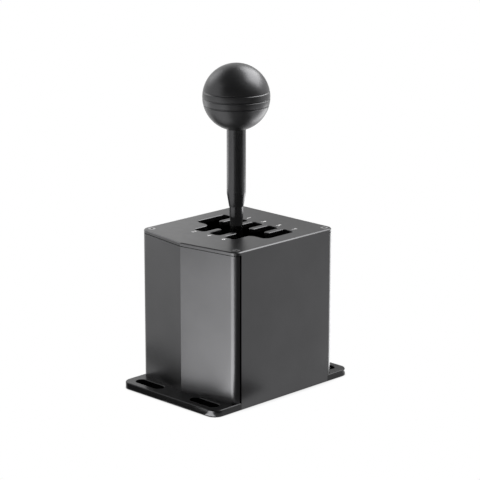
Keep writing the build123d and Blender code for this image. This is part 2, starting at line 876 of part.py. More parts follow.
# Detent: a sprung plunger in a barrel under the pivot, over a dished plate
plunger_bore = nose_radius + running_gap
collar_bore = collar_radius + running_gap
with BuildPart() as detent_barrel:
    with BuildSketch(Plane.XZ):
        with BuildLine():
            Polyline(
                (plunger_bore, barrel_bottom),
                (barrel_radius - barrel_bevel, barrel_bottom),
                (barrel_radius, barrel_bottom + barrel_bevel),
                (barrel_radius, block_bottom - barrel_flange_height),
                (barrel_flange_radius, block_bottom - barrel_flange_height),
                (barrel_flange_radius, block_bottom),
                (barrel_radius, block_bottom),
                (barrel_radius, barrel_top),
                (collar_bore, barrel_top),
                (collar_bore, barrel_bottom + barrel_lip),
                (plunger_bore, barrel_bottom + barrel_lip),
                close=True,
            )
        make_face()
    revolve(axis=Axis.Z)
write(detent_barrel, "detent_barrel")

nose_diagonal = nose_radius * sin(pi / 4)
with BuildPart() as detent_plunger:
    with BuildSketch(Plane.XZ):
        with BuildLine():
            ThreePointArc(
                (0, plunger_tip),
                (nose_diagonal, plunger_tip + nose_radius - nose_diagonal),
                (nose_radius, plunger_tip + nose_radius),
            )
            Polyline(
                (nose_radius, plunger_tip + nose_radius),
                (nose_radius, collar_bottom),
                (collar_radius, collar_bottom),
                (collar_radius, collar_top),
                (0, collar_top),
                (0, plunger_tip),
            )
        make_face()
    revolve(axis=Axis.Z)
write(detent_plunger, "detent_plunger")

plunger_coil_radius = collar_radius - plunger_wire_radius
with BuildPart() as plunger_spring:
    with Locations((0, 0, collar_top)):
        add(
            coil_spring(
                plunger_coil_radius, plunger_wire_radius, barrel_top - collar_top, plunger_coils
            )
        )
write(plunger_spring, "plunger_spring")

nose_centre_reach = detent_reach - nose_radius + plunger_travel
with BuildPart() as detent_plate:
    with BuildSketch(Plane.XY.offset(base_thickness)):
        RectangleRounded(detent_plate_size, detent_plate_size, detent_plate_corner_radius)
        with Locations(*detent_screw_points):
            Circle(m3_radius + clear_gap, mode=Mode.SUBTRACT)
    extrude(amount=detent_plate_height)
    with BuildSketch(Plane.XY.offset(base_thickness + detent_plate_height)):
        with Locations(*detent_screw_points):
            Circle(cap_head_radius + clear_gap)
    extrude(amount=-cap_head_height, mode=Mode.SUBTRACT)
    with Locations((0, 0, pivot_height)):
        Sphere(detent_reach + detent_gap, mode=Mode.SUBTRACT)
    with BuildSketch(Plane.YZ):
        for step in (-1, 0, 1):
            lean = radians(step * shift_angle)
            trough_y = nose_centre_reach * sin(lean)
            trough_z = pivot_height - nose_centre_reach * cos(lean)
            with Locations((trough_y, trough_z)):
                Circle(nose_radius + detent_gap)
    revolve(axis=pivot_axis_y, mode=Mode.SUBTRACT)
write(detent_plate, "detent_plate")

with BuildPart() as detent_plate_screws:
    cap_seat = base_thickness + detent_plate_height - cap_head_height
    with Locations(*[(x, y, cap_seat) for x, y in detent_screw_points]):
        add(cap_screw)
write(detent_plate_screws, "detent_plate_screws")

# Springs under the cradle's arms, between a seat on the base and a cap on the arm
with BuildPart() as spring_seat:
    with BuildSketch(Plane.XZ):
        with BuildLine():
            Polyline(
                (0, -seat_spigot_length),
                (seat_spigot_radius, -seat_spigot_length),
                (seat_spigot_radius, 0),
                (seat_radius, 0),
                (seat_radius, seat_floor + seat_rim),
                (seat_radius - seat_wall, seat_floor + seat_rim),
                (seat_radius - seat_wall, seat_floor),
                (seat_pin_radius, seat_floor),
                (seat_pin_radius, seat_floor + seat_pin_height),
                (0, seat_floor + seat_pin_height),
                close=True,
            )
        make_face()
    revolve(axis=Axis.Z)

with BuildPart() as spring_seats:
    with Locations(*[(x, y, base_thickness) for x, y in spring_points]):
        add(spring_seat.part)
write(spring_seats, "spring_seats")

with BuildPart() as spring_caps:
    with Locations(*[(x, y, cradle_bottom) for x, y in spring_points]):
        add(spring_seat.part, rotation=(180, 0, 0))
write(spring_caps, "spring_caps")

spring = coil_spring(spring_radius, spring_wire_radius, spring_top - spring_bottom, spring_coils)
with BuildPart() as centring_springs:
    with Locations(*[(x, y, spring_bottom) for x, y in spring_points]):
        add(spring)
write(centring_springs, "centring_springs")

# Position sensors: a magnet on each axis and a board that reads it
for name, carrier, tip, board_start in (
    ("select", outward_plane_y(1, block_outer_face), stub_end, block_spacer_length),
    ("shift", outward_plane_x(cheek_outer), pin_half_length - cheek_outer, cheek_spacer_length),
):
    with BuildPart() as magnet:
        with BuildSketch(carrier.offset(tip)):
            with Locations((0, pivot_height)):
                Circle(magnet_radius)
        extrude(amount=magnet_length)
    write(magnet, name + "_magnet")

    with BuildPart() as sensor_board:
        board_height = sensor_board_above + sensor_board_below
        board_centre = pivot_height + (sensor_board_above - sensor_board_below) / 2
        with BuildSketch(carrier.offset(board_start)):
            with Locations((0, board_centre)):
                Rectangle(sensor_board_width, board_height)
            with Locations(*spacer_points):
                Circle(pan_radius + clear_gap, mode=Mode.SUBTRACT)
        extrude(amount=board_thickness)
        with BuildSketch(carrier.offset(board_start)):
            with Locations((0, pivot_height)):
                Rectangle(chip_size, chip_size)
        extrude(amount=-chip_height)
    write(sensor_board, name + "_sensor_board")

    with BuildPart() as spacers:
        with BuildSketch(carrier):
            with Locations(*spacer_points):
                Circle(spacer_radius)
                Circle(pan_radius + clear_gap, mode=Mode.SUBTRACT)
        extrude(amount=board_start)
    write(spacers, name + "_board_spacers")

    with BuildPart() as sensor_screws:
        with Locations(carrier.offset(board_start + board_thickness)):
            with Locations(*spacer_points):
                add(sensor_screw)
    write(sensor_screws, name + "_board_screws")

# Main board on four standoffs, with the socket at its rear edge
board_hole_x = main_board_width / 2 - board_hole_inset
board_hole_y = main_board_depth / 2 - board_hole_inset
board_points = [
    (side * board_hole_x, board_middle + end * board_hole_y) for side in (-1, 1) for end in (-1, 1)
]
with BuildPart() as main_board:
    with BuildSketch(Plane.XY.offset(board_bottom)):
        with Locations((0, board_middle)):
            Rectangle(main_board_width, main_board_depth)
        with Locations(*board_points):
            Circle(pan_radius + clear_gap, mode=Mode.SUBTRACT)
    extrude(amount=board_thickness)
write(main_board, "main_board")

with BuildPart() as board_standoffs:
    with BuildSketch(Plane.XY.offset(base_thickness)):
        with Locations(*board_points):
            RegularPolygon(radius=standoff_radius, side_count=6, major_radius=False)
            Circle(pan_radius + snug_gap, mode=Mode.SUBTRACT)
    extrude(amount=standoff_height)
write(board_standoffs, "board_standoffs")

with BuildPart() as board_screws:
    with Locations(*[(x, y, board_top) for x, y in board_points]):
        add(board_screw)
write(board_screws, "board_screws")

mouth_plane = outward_plane_y(1, usb_mouth)
with BuildPart() as usb_socket:
    with BuildSketch(mouth_plane):
        with Locations((0, usb_middle)):
            SlotOverall(usb_width, usb_height)
    extrude(amount=-usb_depth)
    with BuildSketch(mouth_plane):
        with Locations((0, usb_middle)):
            SlotOverall(usb_width - 2 * usb_wall, usb_height - 2 * usb_wall)
    extrude(amount=usb_back_wall - usb_depth, mode=Mode.SUBTRACT)
    with BuildSketch(mouth_plane.offset(-usb_tongue_recess)):
        with Locations((0, usb_middle)):
            Rectangle(usb_tongue_width, usb_tongue_height)
    extrude(amount=usb_tongue_recess + usb_back_wall - usb_depth)
write(usb_socket, "usb_socket")
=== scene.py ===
import math

import bmesh
import bpy
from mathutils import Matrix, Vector


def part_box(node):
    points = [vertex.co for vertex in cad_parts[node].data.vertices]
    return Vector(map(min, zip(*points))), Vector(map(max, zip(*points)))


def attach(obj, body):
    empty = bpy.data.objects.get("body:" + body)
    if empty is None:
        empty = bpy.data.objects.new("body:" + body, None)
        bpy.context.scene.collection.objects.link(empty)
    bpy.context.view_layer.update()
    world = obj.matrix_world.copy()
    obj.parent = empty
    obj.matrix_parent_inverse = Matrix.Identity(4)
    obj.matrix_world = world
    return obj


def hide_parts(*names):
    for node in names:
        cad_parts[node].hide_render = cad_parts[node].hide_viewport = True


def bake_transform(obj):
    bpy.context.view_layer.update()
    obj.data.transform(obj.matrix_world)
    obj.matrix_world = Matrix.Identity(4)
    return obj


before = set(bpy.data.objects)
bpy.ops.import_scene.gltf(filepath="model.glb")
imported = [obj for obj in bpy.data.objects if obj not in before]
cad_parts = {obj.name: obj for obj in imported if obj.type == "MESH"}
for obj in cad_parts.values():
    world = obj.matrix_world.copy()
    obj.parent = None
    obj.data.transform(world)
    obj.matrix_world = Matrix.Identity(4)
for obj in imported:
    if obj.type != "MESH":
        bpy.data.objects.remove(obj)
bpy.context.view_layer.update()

bl_info = {
    "name": "Gear Shifter Looks",
    "version": (1, 0, 0),
    "blender": (4, 5, 0),
    "location": "View3D > Sidebar > Shifter",
    "description": "Finishes, small pieces and studio for a desk-mounted gear shifter",
    "category": "Object",
}

MM = 0.001
PLATE_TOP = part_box("top_plate")[1].z
BOARD_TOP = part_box("main_board")[1].z
SMOOTH_BELOW = math.radians(35)
MOULD_TEXTURE = 0.00035


# Settings that a user would change

class CasingFinish(bpy.types.PropertyGroup):
    """Anodised aluminium of the casing."""
    colour: bpy.props.FloatVectorProperty(
        name="Colour", description="Colour of the anodised skin", subtype="COLOR",
        size=3, min=0.0, max=1.0, default=(0.074, 0.074, 0.076))
    roughness: bpy.props.FloatProperty(
        name="Roughness", description="Mean roughness of the blasted skin",
        subtype="FACTOR", min=0.0, max=1.0, default=0.3)
    grain_size: bpy.props.FloatProperty(
        name="Grain Size", description="Size of one dimple of the bead blasting",
        unit="LENGTH", min=0.00005, max=0.002, precision=5, default=0.00025)


class LeverFinish(bpy.types.PropertyGroup):
    """Turned and anodised rod, sleeve and knob."""
    rod_colour: bpy.props.FloatVectorProperty(
        name="Rod Colour", description="Colour of the anodised rod and sleeve",
        subtype="COLOR", size=3, min=0.0, max=1.0, default=(0.07, 0.07, 0.072))
    rod_roughness: bpy.props.FloatProperty(
        name="Rod Roughness", description="Mean roughness of the rod and sleeve",
        subtype="FACTOR", min=0.0, max=1.0, default=0.25)
    knob_colour: bpy.props.FloatVectorProperty(
        name="Knob Colour", description="Colour of the anodised knob",
        subtype="COLOR", size=3, min=0.0, max=1.0, default=(0.07, 0.07, 0.072))
    knob_roughness: bpy.props.FloatProperty(
        name="Knob Roughness", description="Mean roughness of the knob",
        subtype="FACTOR", min=0.0, max=1.0, default=0.36)


class GateNumbers(bpy.types.PropertyGroup):
    """Filled numerals beside the lanes of the gate."""
    height: bpy.props.FloatProperty(
        name="Height", description="Height of a numeral",
        unit="LENGTH", min=0.002, max=0.008, precision=4, default=0.0042)
    thickness: bpy.props.FloatProperty(
        name="Thickness", description="Thickness of the paint above the plate",
        unit="LENGTH", min=0.00002, max=0.0003, precision=5, default=0.00006)
    colour: bpy.props.FloatVectorProperty(
        name="Colour", description="Colour of the filling paint", subtype="COLOR",
        size=3, min=0.0, max=1.0, default=(0.86, 0.86, 0.86))


class SpringWinding(bpy.types.PropertyGroup):
    """Pair of centring springs wound in one piece."""
    wire_radius: bpy.props.FloatProperty(
        name="Wire Radius", description="Radius of the spring wire",
        unit="LENGTH", min=0.0004, max=0.001, precision=5, default=0.0007)
    coils: bpy.props.IntProperty(
        name="Coils", description="Turns of wire in each spring",
        min=4, max=8, default=6)


class BoardParts(bpy.types.PropertyGroup):
    """Parts soldered on the main circuit board."""
    chip_width: bpy.props.FloatProperty(
        name="Chip Width", description="Width of the controller chip",
        unit="LENGTH", min=0.004, max=0.01, precision=4, default=0.007)
    pin_count: bpy.props.IntProperty(
        name="Pins a Side", description="Number of pins on each side of the chip",
        min=4, max=16, default=8)
    mask_colour: bpy.props.FloatVectorProperty(
        name="Solder Mask", description="Colour of the circuit boards", subtype="COLOR",
        size=3, min=0.0, max=1.0, default=(0.012, 0.055, 0.032))


class StudioLight(bpy.types.PropertyGroup):
    """Camera and soft boxes."""
    camera_place: bpy.props.FloatVectorProperty(
        name="Camera Place", description="Where the camera stands", subtype="XYZ",
        unit="LENGTH", size=3, default=(1.08175, -1.08255, 0.51582))
    camera_turn: bpy.props.FloatProperty(
        name="Camera Turn", description="Angle of the view from the front, to the right",
        subtype="ANGLE", default=math.radians(44.877))
    camera_rise: bpy.props.FloatProperty(
        name="Camera Rise", description="Angle of the view above the desk",
        subtype="ANGLE", default=math.radians(14.843))
    lens: bpy.props.FloatProperty(
        name="Lens", description="Focal length for a sensor 36 mm wide",
        unit="CAMERA", default=159.216)
    high_power: bpy.props.FloatProperty(
        name="High Soft Box", description="Power of the soft box high at the right",
        unit="POWER", default=10.0)
    rear_power: bpy.props.FloatProperty(
        name="Rear Soft Box", description="Power of the soft box behind the object",
        unit="POWER", default=2.0)
    side_power: bpy.props.FloatProperty(
        name="Side Soft Box", description="Power of the soft box at the left",
        unit="POWER", default=5.0)


# Shared surface effects, each one a node group

def new_group(name, inputs, outputs):
    """Empty node group with float inputs and the outputs named, and its two ends."""
    group = bpy.data.node_groups.new(name, "ShaderNodeTree")
    for label, value in inputs:
        socket = group.interface.new_socket(label, in_out="INPUT", socket_type="NodeSocketFloat")
        socket.default_value = value
    for label, kind in outputs:
        group.interface.new_socket(label, in_out="OUTPUT", socket_type=kind)
    start = group.nodes.new("NodeGroupInput")
    start.location = (-900, 0)
    end = group.nodes.new("NodeGroupOutput")
    end.location = (600, 0)
    return group, start, end


def noise_node(tree, scale, detail, roughness, x, y):
    """Noise texture node with its settings."""
    noise = tree.nodes.new("ShaderNodeTexNoise")
    noise.inputs["Scale"].default_value = scale
    noise.inputs["Detail"].default_value = detail
    noise.inputs["Roughness"].default_value = roughness
    noise.location = (x, y)
    return noise


def math_node(tree, operation, first, second, x, y):
    """Math node. A number goes on its socket and a socket is linked to it."""
    step = tree.nodes.new("ShaderNodeMath")
    step.operation = operation
    step.location = (x, y)
    for place, value in enumerate((first, second)):
        if isinstance(value, (int, float)):
            step.inputs[place].default_value = value
        else:
            tree.links.new(value, step.inputs[place])
    return step.outputs[0]


def spread_about(tree, mean, noise, spread, x, y):
    """Mean value with a noise of 0 to 1 laid round it, as wide as the spread."""
    swing = math_node(tree, "SUBTRACT", noise, 0.5, x, y)
    swing = math_node(tree, "MULTIPLY", swing, spread, x + 160, y)
    return math_node(tree, "ADD", mean, swing, x + 320, y)


def bump_normal(tree, strength, height, distance, x, y):
    """Normal of a bump, whose distance is a number or a socket."""
    bump = tree.nodes.new("ShaderNodeBump")
    bump.inputs["Strength"].default_value = strength
    bump.location = (x, y)
    tree.links.new(height, bump.inputs["Height"])
    if isinstance(distance, (int, float)):
        bump.inputs["Distance"].default_value = distance
    else:
        tree.links.new(distance, bump.inputs["Distance"])
    return bump.outputs["Normal"]


def blasted_skin():
    """Bead-blasted skin: fine dimples, cloudy gloss and a faint drift of tone."""
    group, start, end = new_group(
        "Blasted Skin",
        (("Grain Scale", 4000.0), ("Grain Depth", 0.000004), ("Roughness", 0.3),
         ("Roughness Spread", 0.08)),
        (("Tone", "NodeSocketFloat"), ("Roughness", "NodeSocketFloat"),
         ("Normal", "NodeSocketVector")))
    place = group.nodes.new("ShaderNodeTexCoord")
    place.location = (-900, -300)
    fine = noise_node(group, 4000.0, 1.0, 0.5, -600, 200)
    cloud = noise_node(group, 22.0, 4.0, 0.6, -600, -100)
    patch = noise_node(group, 160.0, 3.0, 0.55, -600, -400)
    for noise in (fine, cloud, patch):
        group.links.new(place.outputs["Object"], noise.inputs["Vector"])
    group.links.new(start.outputs["Grain Scale"], fine.inputs["Scale"])
    dimples = bump_normal(
        group, 0.6, fine.outputs["Fac"], start.outputs["Grain Depth"], 200, 200)
    gloss = spread_about(
        group, start.outputs["Roughness"], patch.outputs["Fac"],
        start.outputs["Roughness Spread"], -300, -400)
    group.links.new(cloud.outputs["Fac"], end.inputs["Tone"])
    group.links.new(gloss, end.inputs["Roughness"])
    group.links.new(dimples, end.inputs["Normal"])
    return group


def turned_rings():
    """Fine rings that a lathe leaves round the local Z axis."""
    group, start, end = new_group(
        "Turned Rings",
        (("Ring Scale", 1500.0), ("Ring Depth", 0.000003), ("Roughness", 0.25),
         ("Roughness Spread", 0.1)),
        (("Rings", "NodeSocketFloat"), ("Roughness", "NodeSocketFloat"),
         ("Normal", "NodeSocketVector")))
    place = group.nodes.new("ShaderNodeTexCoord")
    place.location = (-1100, -300)
    flat = group.nodes.new("ShaderNodeVectorMath")
    flat.operation = "MULTIPLY"
    flat.inputs[1].default_value = (0.02, 0.02, 1.0)
    flat.location = (-900, -300)
    rings = noise_node(group, 1500.0, 2.0, 0.6, -600, 0)
    drift = noise_node(group, 40.0, 3.0, 0.5, -600, -300)
    group.links.new(place.outputs["Object"], flat.inputs[0])
    group.links.new(flat.outputs[0], rings.inputs["Vector"])
    group.links.new(place.outputs["Object"], drift.inputs["Vector"])
    group.links.new(start.outputs["Ring Scale"], rings.inputs["Scale"])
    grooves = bump_normal(
        group, 0.5, rings.outputs["Fac"], start.outputs["Ring Depth"], 200, 200)
    gloss = spread_about(
        group, start.outputs["Roughness"], drift.outputs["Fac"],
        start.outputs["Roughness Spread"], -300, -300)
    group.links.new(rings.outputs["Fac"], end.inputs["Rings"])
    group.links.new(gloss, end.inputs["Roughness"])
    group.links.new(grooves, end.inputs["Normal"])
    return group


def moulded_skin():
    """Fine texture of a mould with faintly polished patches."""
    group, start, end = new_group(
        "Moulded Skin",
        (("Texture Scale", 3000.0), ("Texture Depth", 0.000006), ("Roughness", 0.4),
         ("Polish", 0.08)),
        (("Tone", "NodeSocketFloat"), ("Roughness", "NodeSocketFloat"),
         ("Normal", "NodeSocketVector")))
    place = group.nodes.new("ShaderNodeTexCoord")
    place.location = (-900, -300)
    pebble = group.nodes.new("ShaderNodeTexVoronoi")
    pebble.feature = "SMOOTH_F1"
    pebble.location = (-600, 200)
    marks = noise_node(group, 55.0, 5.0, 0.62, -600, -200)
    group.links.new(place.outputs["Object"], pebble.inputs["Vector"])
    group.links.new(place.outputs["Object"], marks.inputs["Vector"])
    group.links.new(start.outputs["Texture Scale"], pebble.inputs["Scale"])
    pebbles = bump_normal(
        group, 0.4, pebble.outputs["Distance"], start.outputs["Texture Depth"], 200, 200)
    gloss = spread_about(
        group, start.outputs["Roughness"], marks.outputs["Fac"],
        start.outputs["Polish"], -300, -200)
    group.links.new(marks.outputs["Fac"], end.inputs["Tone"])
    group.links.new(gloss, end.inputs["Roughness"])
    group.links.new(pebbles, end.inputs["Normal"])
    return group


def board_tracks():
    """Copper tracks under the solder mask of a circuit board."""
    group, start, end = new_group(
        "Board Tracks",
        (("Track Scale", 420.0),),
        (("Tracks", "NodeSocketFloat"),))
    place = group.nodes.new("ShaderNodeTexCoord")
    place.location = (-900, 0)
    cells = group.nodes.new("ShaderNodeTexVoronoi")
    cells.distance = "CHEBYCHEV"
    cells.feature = "F2"
    cells.inputs["Randomness"].default_value = 0.7
    cells.location = (-600, 0)
    group.links.new(place.outputs["Object"], cells.inputs["Vector"])
    group.links.new(start.outputs["Track Scale"], cells.inputs["Scale"])
    bands = math_node(group, "PINGPONG", cells.outputs["Distance"], 0.18, -400, 0)
    tracks = math_node(group, "LESS_THAN", bands, 0.07, -200, 0)
    group.links.new(tracks, end.inputs["Tracks"])
    return group


GROUP_MAKERS = {
    "Blasted Skin": blasted_skin,
    "Turned Rings": turned_rings,
    "Moulded Skin": moulded_skin,
    "Board Tracks": board_tracks,
}


def place_group(tree, name, values, x, y):
    """Group node of a shared effect, with this material's own values."""
    if name not in bpy.data.node_groups:
        GROUP_MAKERS[name]()
    effect = tree.nodes.new("ShaderNodeGroup")
    effect.node_tree = bpy.data.node_groups[name]
    effect.location = (x, y)
    for label, value in values.items():
        effect.inputs[label].default_value = value
    return effect


# Materials

def new_material(name, metallic=0.0, coat=0.0):
    """Material with its node tree and its Principled BSDF."""
    material = bpy.data.materials.new(name)
    material.use_nodes = True
    tree = material.node_tree
    shader = tree.nodes["Principled BSDF"]
    shader.inputs["Metallic"].default_value = metallic
    shader.inputs["Coat Weight"].default_value = coat
    return material, tree, shader


def tone_between(tree, factor, dark, light, shader, x, y):
    """Base colour that drifts between two tones by a mask."""
    mix = tree.nodes.new("ShaderNodeMix")
    mix.data_type = "RGBA"
    mix.location = (x, y)
    mix.inputs["A"].default_value = (*dark, 1.0)
    mix.inputs["B"].default_value = (*light, 1.0)
    tree.links.new(factor, mix.inputs["Factor"])
    tree.links.new(mix.outputs["Result"], shader.inputs["Base Color"])


def link_skin(tree, skin, shader):
    """Roughness and normal of a shared effect go to the shader."""
    for label in ("Roughness", "Normal"):
        tree.links.new(skin.outputs[label], shader.inputs[label])


def scaled(colour, share):
    """Colour made lighter or darker by a share."""
    return tuple(min(1.0, part * share) for part in colour)


def blasted_material(name, colour, roughness, grain_size, spread=0.16):
    """Bead-blasted metal whose tone drifts by the spread."""
    material, tree, shader = new_material(name, metallic=1.0)
    skin = place_group(
        tree, "Blasted Skin",
        {"Grain Scale": 1.0 / grain_size, "Grain Depth": grain_size / 60,
         "Roughness": roughness, "Roughness Spread": 0.07}, -900, 100)
    tone_between(tree, skin.outputs["Tone"], scaled(colour, 1 - spread),
                 scaled(colour, 1 + spread), shader, -300, 200)
    link_skin(tree, skin, shader)
    return material


def turned_material(name, colour, roughness, ring_size=0.0006):
    """Lathe-turned metal with fine rings."""
    material, tree, shader = new_material(name, metallic=1.0)
    skin = place_group(
        tree, "Turned Rings",
        {"Ring Scale": 1.0 / ring_size, "Ring Depth": ring_size / 200,
         "Roughness": roughness, "Roughness Spread": 0.1}, -700, 0)
    tone_between(tree, skin.outputs["Rings"], scaled(colour, 0.9), scaled(colour, 1.1),
                 shader, -300, 200)
    link_skin(tree, skin, shader)
    return material


def moulded_material(name, colour, roughness):
    """Moulded plastic or paint with a fine texture."""
    material, tree, shader = new_material(name)
    skin = place_group(
        tree, "Moulded Skin",
        {"Texture Scale": 1.0 / MOULD_TEXTURE, "Texture Depth": MOULD_TEXTURE / 60,
         "Roughness": roughness, "Polish": 0.1}, -700, 0)
    tone_between(tree, skin.outputs["Tone"], scaled(colour, 0.88), scaled(colour, 1.12),
                 shader, -300, 200)
    link_skin(tree, skin, shader)
    return material


def board_material(name, colour):
    """Circuit board: solder mask with raised copper tracks under it."""
    material, tree, shader = new_material(name, coat=0.4)
    shader.inputs["Roughness"].default_value = 0.35
    tracks = place_group(tree, "Board Tracks", {"Track Scale": 420.0}, -700, 0)
    tone_between(tree, tracks.outputs["Tracks"], colour, scaled(colour, 1.9), shader, -300, 200)
    track_height = 0.00003
    raised = bump_normal(tree, 0.5, tracks.outputs["Tracks"], track_height, -300, -100)
    tree.links.new(raised, shader.inputs["Normal"])
    return material


def dress(names, material):
    """Put a material in every slot of the CAD nodes named."""
    for name in names:
        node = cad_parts[name]
        if not node.material_slots:
            raise RuntimeError(name + " has no material slot")
        for slot in node.material_slots:
            slot.material = material


# Mesh helpers

def deselect_all():
    """Go back to object mode with nothing selected."""
    if bpy.context.object and bpy.context.object.mode != "OBJECT":
        bpy.ops.object.mode_set(mode="OBJECT")
    bpy.ops.object.select_all(action="DESELECT")


def select_only(piece):
    """Select one piece and make it the active one."""
    deselect_all()
    piece.select_set(True)
    bpy.context.view_layer.objects.active = piece


def pick_top(piece):
    """In edit mode, select only the faces that look up."""
    bpy.ops.mesh.select_mode(type="FACE")
    bpy.ops.mesh.select_all(action="DESELECT")
    cage = bmesh.from_edit_mesh(piece.data)
    for face in cage.faces:
        face.select_set(face.normal.z > 0.9)
    cage.select_flush_mode()
    bmesh.update_edit_mesh(piece.data)


def settle_piece(piece, name, material):
    """Put a new piece's place into its mesh, smooth it, name it and dress it."""
    select_only(piece)
    bpy.ops.object.transform_apply(location=True, rotation=True, scale=True)
    bpy.ops.object.shade_smooth_by_angle(angle=SMOOTH_BELOW)
    piece.name = name
    piece.data.name = name
    piece.data.materials.clear()
    piece.data.materials.append(material)


def finish_piece(piece, name, material, body):
    """Settle a new piece that rides on one body."""
    settle_piece(piece, name, material)
    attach(piece, body)


def block_at(size, centre, bevel):
    """Box of a size at a place, with its edges bevelled."""
    deselect_all()
    bpy.ops.mesh.primitive_cube_add(size=1, location=centre)
    piece = bpy.context.object
    piece.scale = size
    bpy.ops.object.transform_apply(location=False, rotation=False, scale=True)
    bpy.ops.object.mode_set(mode="EDIT")
    bpy.ops.mesh.select_all(action="SELECT")
    bpy.ops.mesh.bevel(offset=bevel, segments=2, affect="EDGES")
    bpy.ops.object.mode_set(mode="OBJECT")
    return piece


def copy_of(piece, offset):
    """Copy of a piece with its own mesh, moved by the offset."""
    select_only(piece)
    bpy.ops.object.duplicate(linked=False)
    copy = bpy.context.object
    copy.location = piece.location + Vector(offset)
    return copy


def joined(pieces):
    """One object out of several."""
    deselect_all()
    for piece in pieces:
        piece.select_set(True)
    bpy.context.view_layer.objects.active = pieces[0]
    bpy.ops.object.join()
    return bpy.context.object


# Operators, one for each piece or group of like pieces

class SHIFTER_OT_casing(bpy.types.Operator):
    """Give the casing its blasted and anodised skin, and the base plate a darker copy of it with
    painted shade
    """
    bl_idname = "shifter.casing"
    bl_label = "Casing Finish"

    def execute(self, context):
        settings = context.scene.shifter_casing
        skin = blasted_material(
            "anodised_casing", tuple(settings.colour), settings.roughness,
            settings.grain_size)
        dress(("left_side_panel", "right_side_panel", "front_cover", "rear_cover",
               "top_plate"), skin)
        # The base plate takes a darker copy of the casing skin: partly its own darker anodising,
        # partly painted shade for the dark reflection on its front edge
        base_shade_share = 0.45
        shaded_base_skin = blasted_material(
            "anodised_base", scaled(settings.colour, base_shade_share), settings.roughness,
            settings.grain_size)
        dress(("base_plate",), shaded_base_skin)
        return {"FINISHED"}


class SHIFTER_OT_lever(bpy.types.Operator):
    """Give the rod, sleeve and knob their turned and anodised skin"""
    bl_idname = "shifter.lever"
    bl_label = "Lever Finish"

    def execute(self, context):
        settings = context.scene.shifter_lever
        rod = turned_material(
            "anodised_rod", tuple(settings.rod_colour), settings.rod_roughness)
        knob = turned_material(
            "anodised_knob", tuple(settings.knob_colour), settings.knob_roughness)
        dress(("lever_rod", "lever_sleeve"), rod)
        dress(("shift_knob",), knob)
        return {"FINISHED"}


class SHIFTER_OT_fasteners(bpy.types.Operator):
    """Blacken the screws and the lock nut, and plate the screws of the gate plate"""
    bl_idname = "shifter.fasteners"
    bl_label = "Fastener Finish"

    def execute(self, context):
        black = blasted_material("blackened_steel", (0.04, 0.04, 0.042), 0.34, 0.0002)
        bare = turned_material("plated_screws", (0.4, 0.4, 0.405), 0.3)
        dress(("top_screws",), bare)
        dress(("cover_screws", "panel_screws", "block_screws",
               "detent_plate_screws", "select_board_screws", "shift_board_screws",
               "board_screws", "lock_nut"), black)
        return {"FINISHED"}


class SHIFTER_OT_works(bpy.types.Operator):
    """Finish the gimbal, bearings and detent, and wind the centring springs"""
    bl_idname = "shifter.works"
    bl_label = "Gimbal and Detent Finish"

    def execute(self, context):
        milled = blasted_material(
            "milled_aluminium", (0.6, 0.61, 0.62), 0.32, 0.0004, spread=0.06)
        ground = turned_material("ground_steel", (0.55, 0.55, 0.56), 0.22)
        wire = turned_material("spring_wire", (0.42, 0.42, 0.43), 0.28, ring_size=0.0012)
        brass = turned_material("turned_brass", (0.72, 0.53, 0.26), 0.24)
        acetal = moulded_material("turned_acetal", (0.74, 0.73, 0.69), 0.4)
        nickel = turned_material("plated_magnet", (0.66, 0.64, 0.6), 0.16)
        dress(("front_bearing_block", "rear_bearing_block", "gimbal_cradle", "pivot_block",
               "detent_barrel"), milled)
        dress(("bearing_outer_rings", "bearing_inner_rings", "cross_pin", "detent_plunger",
               "detent_plate", "shaft_circlips", "pin_clips"), ground)
        dress(("centring_springs", "plunger_spring"), wire)
        dress(("pivot_bushes", "knob_insert", "select_board_spacers", "shift_board_spacers",
               "board_standoffs"), brass)
        dress(("spring_seats", "spring_caps"), acetal)
        dress(("select_magnet", "shift_magnet"), nickel)
        self.wind_springs(context.scene.shifter_springs, wire)
        return {"FINISHED"}

    def wind_springs(self, settings, wire):
        """Both centring springs in one piece, between the base and the cradle."""
        low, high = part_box("centring_springs")
        coil_radius = (high.y - low.y) / 2 - settings.wire_radius
        offset = high.x - coil_radius - settings.wire_radius
        lead = (high.z - low.z - 2 * settings.wire_radius) / settings.coils
        steps_a_turn = 32
        deselect_all()
        bpy.ops.mesh.primitive_circle_add(
            vertices=12, radius=settings.wire_radius, rotation=(math.pi / 2, 0, 0),
            location=(coil_radius, 0, low.z + settings.wire_radius))
        springs = bpy.context.object
        bpy.ops.object.transform_apply(location=True, rotation=True, scale=True)
        bpy.ops.object.modifier_add(type="SCREW")
        winding = springs.modifiers[-1]
        winding.screw_offset = lead
        winding.iterations = settings.coils
        winding.steps = winding.render_steps = steps_a_turn
        bpy.ops.object.modifier_apply(modifier=winding.name)
        bpy.ops.object.mode_set(mode="EDIT")
        bpy.ops.mesh.select_all(action="SELECT")
        bpy.ops.mesh.fill_holes(sides=0)
        bpy.ops.mesh.select_all(action="SELECT")
        bpy.ops.mesh.normals_make_consistent(inside=False)
        bpy.ops.transform.translate(value=(-offset, 0, 0))
        bpy.ops.mesh.duplicate_move(TRANSFORM_OT_translate={"value": (2 * offset, 0, 0)})
        bpy.ops.object.mode_set(mode="OBJECT")
        settle_piece(springs, "flexing_springs", wire)
        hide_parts("centring_springs")
        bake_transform(springs)


